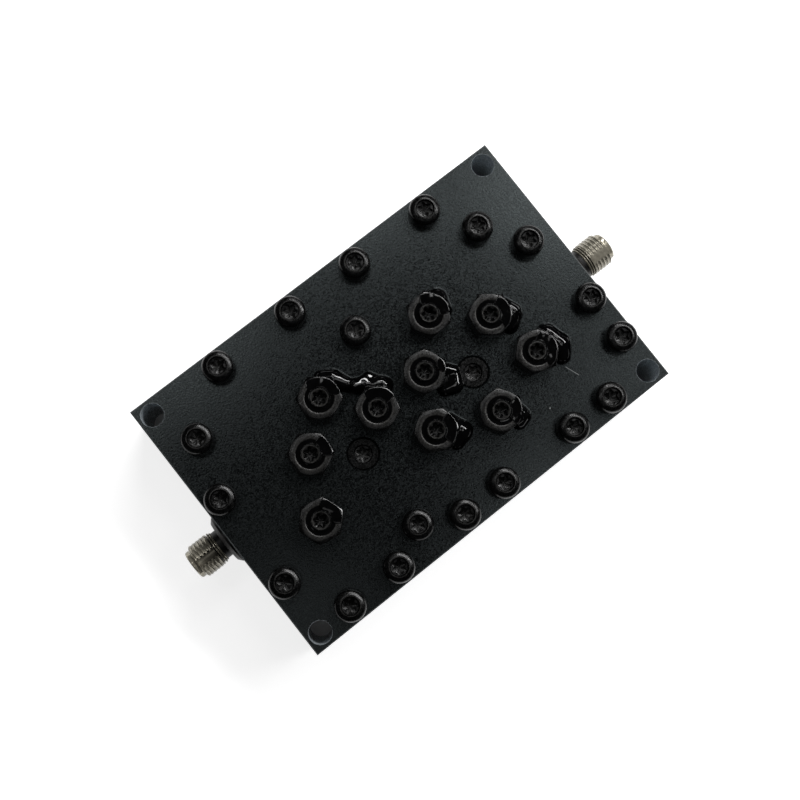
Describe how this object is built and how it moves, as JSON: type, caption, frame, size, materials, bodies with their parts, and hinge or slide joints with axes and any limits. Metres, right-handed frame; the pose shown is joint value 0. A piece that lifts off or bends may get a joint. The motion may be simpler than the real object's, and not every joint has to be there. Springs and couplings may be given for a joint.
{
  "type": "rf bandpass filter",
  "caption": "Flat rectangular coaxial cavity filter with a screwed lid, locked and sealed tuning screws, and a threaded coaxial jack at each short end.",
  "frame": {"origin": "middle of the flat underside", "axes": "+X along the body to the right jack, +Y to the far long edge, +Z out of the lid"},
  "size_m": [0.0916, 0.0508, 0.0195],
  "materials": {
    "black_paint": "aluminium under fine textured matte black paint",
    "black_steel": "black finish on steel, dulled",
    "sealant": "cured black compound, glossy",
    "plated_shell": "plain plated metal, slightly worn; black paint over the shoulder and the neck",
    "insulator": "white fluoropolymer",
    "gold": "gold plated",
    "silver_plate": "silver plated",
    "steel": "plain stainless"
  },
  "bodies": {
    "root": {"housing": "black_paint", "lid": "black_paint", "lid_cap_screws": "black_steel", "lid_flush_screws": "black_steel", "tuning_screws": "black_steel", "coupling_screws": "black_steel", "lock_nuts": "black_steel", "resonator_1": "silver_plate", "resonator_2": "silver_plate", "resonator_3": "silver_plate", "resonator_4": "silver_plate", "resonator_5": "silver_plate", "resonator_screws": "steel", "left_jack_shell": "plated_shell", "left_jack_insulator": "insulator", "left_jack_contact": "gold", "left_tap_wire": "silver_plate", "right_jack_shell": "plated_shell", "right_jack_insulator": "insulator", "right_jack_contact": "gold", "right_tap_wire": "silver_plate", "sealant_tuning_1": "sealant", "sealant_tuning_2": "sealant", "sealant_tuning_3": "sealant", "sealant_tuning_4": "sealant", "sealant_tuning_5": "sealant", "sealant_coupling_12": "sealant", "sealant_coupling_34": "sealant", "sealant_coupling_45": "sealant", "sealant_coupling_35": "sealant", "sealant_rings": "sealant"}
  },
  "joints": []
}
